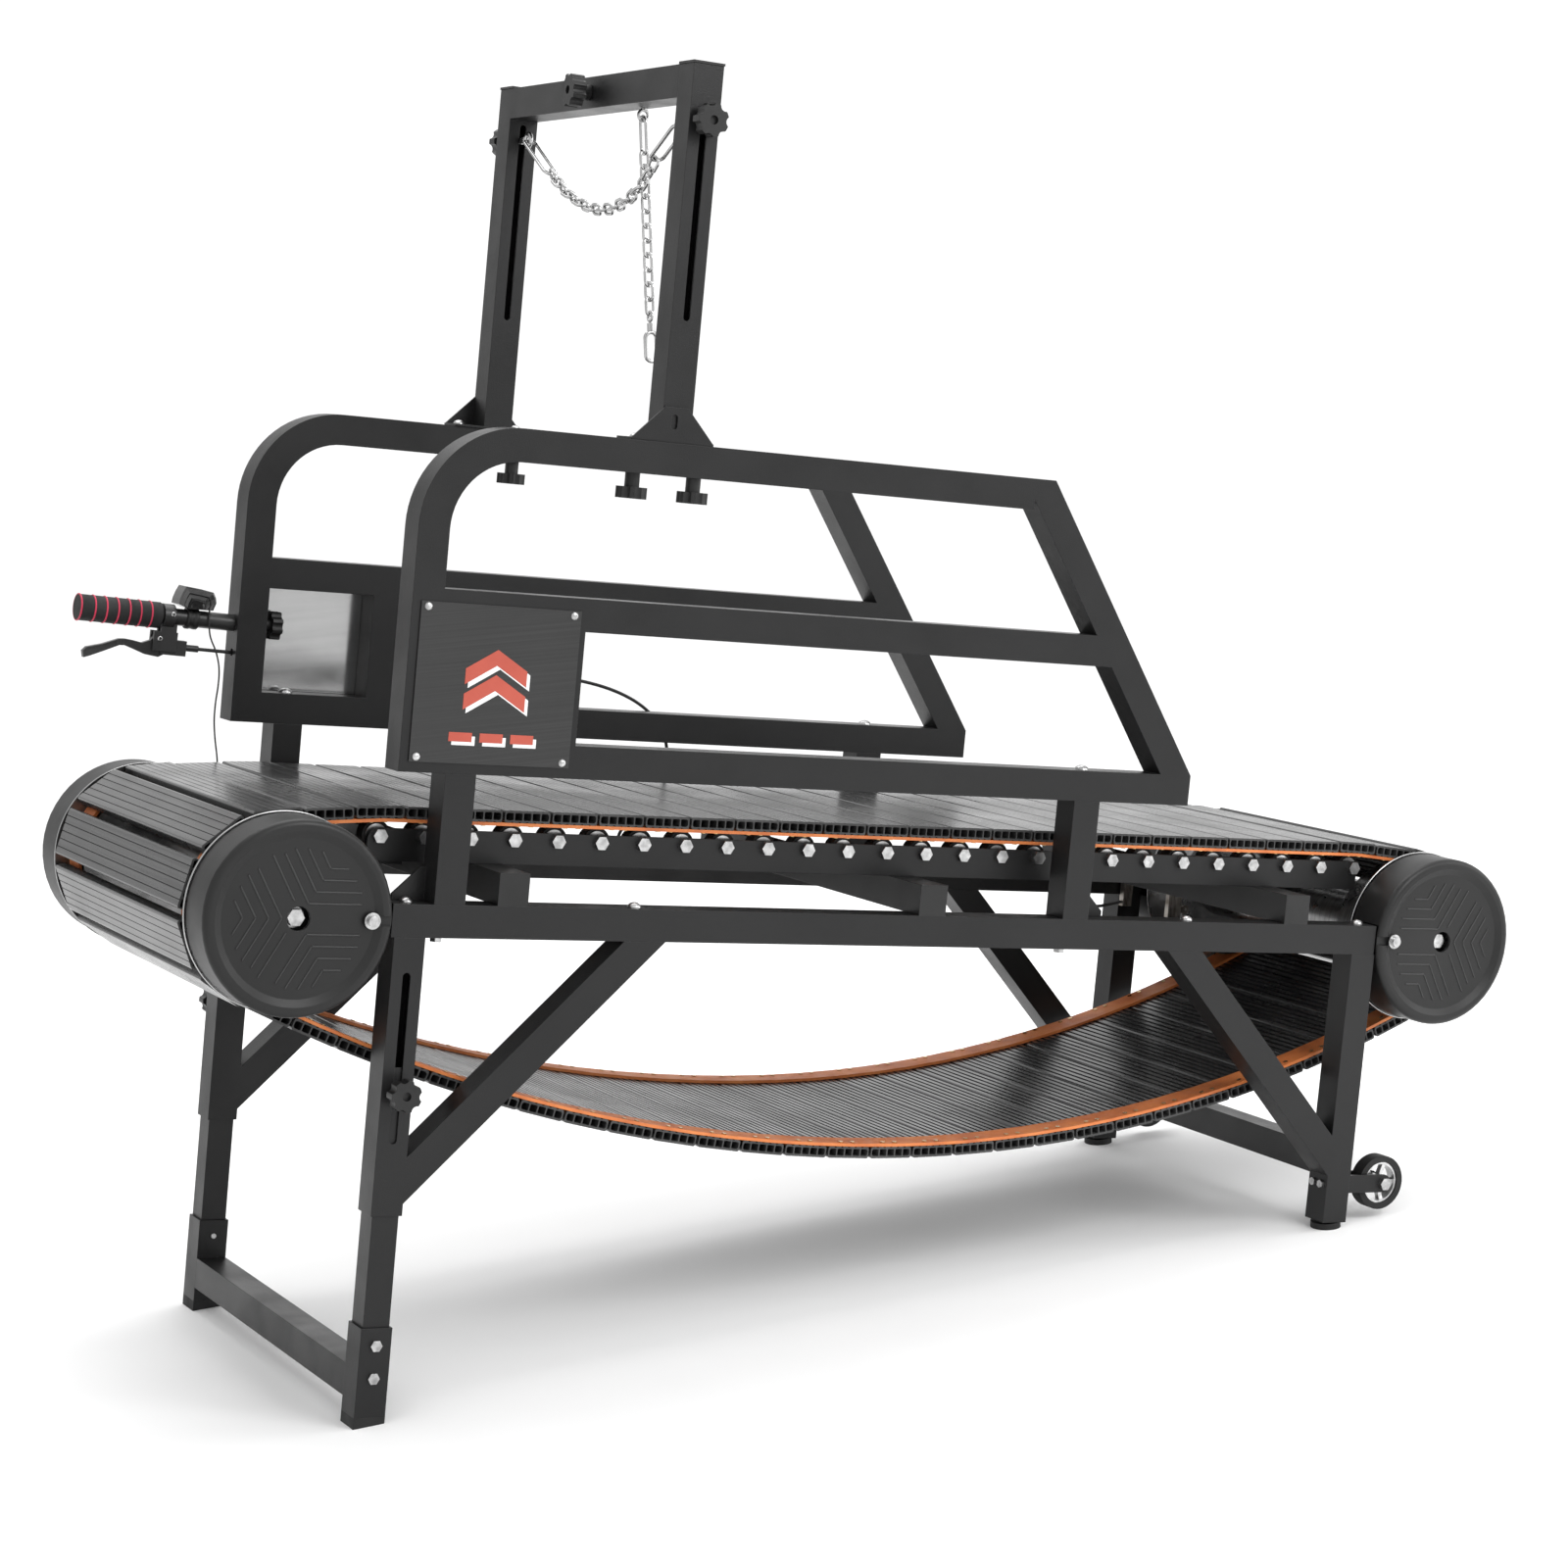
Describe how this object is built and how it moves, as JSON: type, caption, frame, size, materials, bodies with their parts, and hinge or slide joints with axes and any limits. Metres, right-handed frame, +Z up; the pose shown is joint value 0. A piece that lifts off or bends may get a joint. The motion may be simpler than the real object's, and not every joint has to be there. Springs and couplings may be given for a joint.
{
  "type": "manual slat treadmill",
  "caption": "Non-motorised slat treadmill for dogs: straight roller deck with a hanging return run, side guards, leash frame, brake lever and adjustable front feet.",
  "frame": {"origin": "on the floor, under the middle of the machine's overall box", "axes": "+X towards the low rear end, +Y towards the guard with the handlebar, +Z up"},
  "size_m": [1.9344, 0.663, 1.6014],
  "materials": {
    "frame_paint": "satin black powder coat",
    "plate_paint": "satin grey sheet with plain printed bands",
    "slat_metal": "dark anodised, fine lengthwise grooves",
    "strap_web": "orange-brown belting",
    "zinc": "bright zinc plate",
    "drum_metal": "turned steel",
    "cover_plastic": "moulded, satin",
    "black_plastic": "moulded, fine texture",
    "black_rubber": "matt",
    "foam": "foam with red rings",
    "wheel_metal": "cast, satin",
    "chrome_plate": "bright plate",
    "monitor_case": "glossy"
  },
  "bodies": {
    "root": {"axle_brackets": "frame_paint", "base_rails": "frame_paint", "belt_rivets": "zinc", "belt_slats": "slat_metal", "belt_straps": "strap_web", "bracket_knobs": "black_plastic", "brake_cable": "black_rubber", "brake_mount": "zinc", "cross_tubes": "frame_paint", "drum_axles": "zinc", "drum_covers": "cover_plastic", "end_caps": "black_plastic", "frame_bolts": "zinc", "front_legs": "frame_paint", "grip": "foam", "guard_far": "frame_paint", "guard_near": "frame_paint", "guard_posts": "frame_paint", "handlebar": "frame_paint", "leash_bar": "frame_paint", "leash_brackets": "frame_paint", "leash_posts": "frame_paint", "lever_clamp": "black_plastic", "monitor": "monitor_case", "monitor_wire": "black_rubber", "rear_feet": "black_rubber", "rear_legs": "frame_paint", "roller_bolts": "zinc", "roller_hubs": "zinc", "roller_tyres": "black_rubber", "side_plates": "plate_paint", "side_rails": "frame_paint", "speed_sensor": "black_plastic", "wheel_axles": "zinc", "wheel_forks": "frame_paint"},
    "foot": {"inner_legs": "frame_paint", "foot_frame": "frame_paint", "front_feet": "black_rubber", "foot_bolts": "zinc"},
    "leg_knob_near": {"leg_knob_near": "black_plastic"},
    "leg_knob_far": {"leg_knob_far": "black_plastic"},
    "front_drum": {"front_drum": "drum_metal"},
    "rear_drum": {"rear_drum": "drum_metal"},
    "wheel_near": {"wheel_tyre_near": "black_rubber", "wheel_hub_near": "wheel_metal"},
    "wheel_far": {"wheel_tyre_far": "black_rubber", "wheel_hub_far": "wheel_metal"},
    "tether": {"tether_eyes": "chrome_plate", "tether_carabiners": "chrome_plate", "tether_chain": "chrome_plate"},
    "post_knob_near": {"post_knob_near": "black_plastic"},
    "post_knob_far": {"post_knob_far": "black_plastic"},
    "crossbar_knob": {"crossbar_knob": "black_plastic"},
    "handlebar_knob": {"handlebar_knob": "black_plastic"},
    "hang_upper": {"hang_clip": "chrome_plate", "hang_chain_upper": "chrome_plate"},
    "hang_lower": {"hang_chain_lower": "chrome_plate"},
    "snap_hook": {"snap_hook": "chrome_plate"},
    "brake_lever": {"brake_lever": "black_plastic"},
    "brake_arm": {"brake_arm": "zinc"}
  },
  "joints": [
    {"name": "front_drum_spin", "type": "hinge", "parent": "root", "child": "front_drum", "pos_m": [-0.84652, 0, 0.62509], "axis": [0, 1, 0], "continuous": true},
    {"name": "rear_drum_spin", "type": "hinge", "parent": "root", "child": "rear_drum", "pos_m": [0.8465, 0, 0.38474], "axis": [0, 1, 0], "continuous": true},
    {"name": "foot_height", "type": "slide", "parent": "root", "child": "foot", "axis": [0.1406, 0, 0.9901], "range_m": [-0.057, 0.13]},
    {"name": "leg_knob_near_turn", "type": "hinge", "parent": "foot", "child": "leg_knob_near", "pos_m": [-0.73425, -0.301, 0.4021], "axis": [0, 1, 0], "continuous": true},
    {"name": "leg_knob_far_turn", "type": "hinge", "parent": "foot", "child": "leg_knob_far", "pos_m": [-0.73425, 0.301, 0.4021], "axis": [0, 1, 0], "continuous": true},
    {"name": "wheel_near_spin", "type": "hinge", "parent": "root", "child": "wheel_near", "pos_m": [0.74554, -0.281, 0.05062], "axis": [0, 1, 0], "continuous": true},
    {"name": "wheel_far_spin", "type": "hinge", "parent": "root", "child": "wheel_far", "pos_m": [0.74554, 0.281, 0.05062], "axis": [0, 1, 0], "continuous": true},
    {"name": "tether_height", "type": "slide", "parent": "root", "child": "tether", "axis": [0.1406, 0, 0.9901], "range_m": [-0.234, 0.016]},
    {"name": "post_knob_near_turn", "type": "hinge", "parent": "tether", "child": "post_knob_near", "pos_m": [-0.27647, -0.29588, 1.52844], "axis": [0.0287, 0.9996, -0.0041], "continuous": true},
    {"name": "post_knob_far_turn", "type": "hinge", "parent": "tether", "child": "post_knob_far", "pos_m": [-0.25949, 0.29588, 1.52603], "axis": [0.0287, 0.9996, -0.0041], "continuous": true},
    {"name": "crossbar_knob_turn", "type": "hinge", "parent": "root", "child": "crossbar_knob", "pos_m": [-0.28098, 0.00458, 1.57705], "axis": [0.9897, -0.029, -0.1405], "continuous": true},
    {"name": "handlebar_knob_turn", "type": "hinge", "parent": "root", "child": "handlebar_knob", "pos_m": [-0.65528, 0.281, 0.90499], "axis": [0.9901, 0, -0.1406], "continuous": true},
    {"name": "hang_swing", "type": "hinge", "parent": "root", "child": "hang_upper", "pos_m": [-0.25609, -0.09334, 1.53766], "axis": [0.9897, -0.029, -0.1405], "range_deg": [-30, 30]},
    {"name": "hang_bend", "type": "hinge", "parent": "hang_upper", "child": "hang_lower", "pos_m": [-0.25574, -0.09334, 1.38724], "axis": [0.3121, -0.9488, -0.0482], "range_deg": [-30, 30]},
    {"name": "snap_swivel", "type": "hinge", "parent": "hang_lower", "child": "snap_hook", "pos_m": [-0.25574, -0.09334, 1.28484], "axis": [0, 0, -1], "continuous": true},
    {"name": "brake_pull", "type": "hinge", "parent": "root", "child": "brake_lever", "pos_m": [-0.79892, 0.281, 0.89931], "axis": [0, 1, 0], "range_deg": [0, 18], "stiffness_Nm_per_rad": 2, "springref_deg": -11.46},
    {"name": "brake_arm_swing", "type": "hinge", "parent": "root", "child": "brake_arm", "pos_m": [0.73532, 0.18, 0.41265], "axis": [0, -1, 0], "range_deg": [0, 12]}
  ],
  "couplings": [
    {"joint": "rear_drum_spin", "follows": "front_drum_spin", "ratio": 1},
    {"joint": "brake_arm_swing", "follows": "brake_pull", "ratio": 0.6}
  ]
}
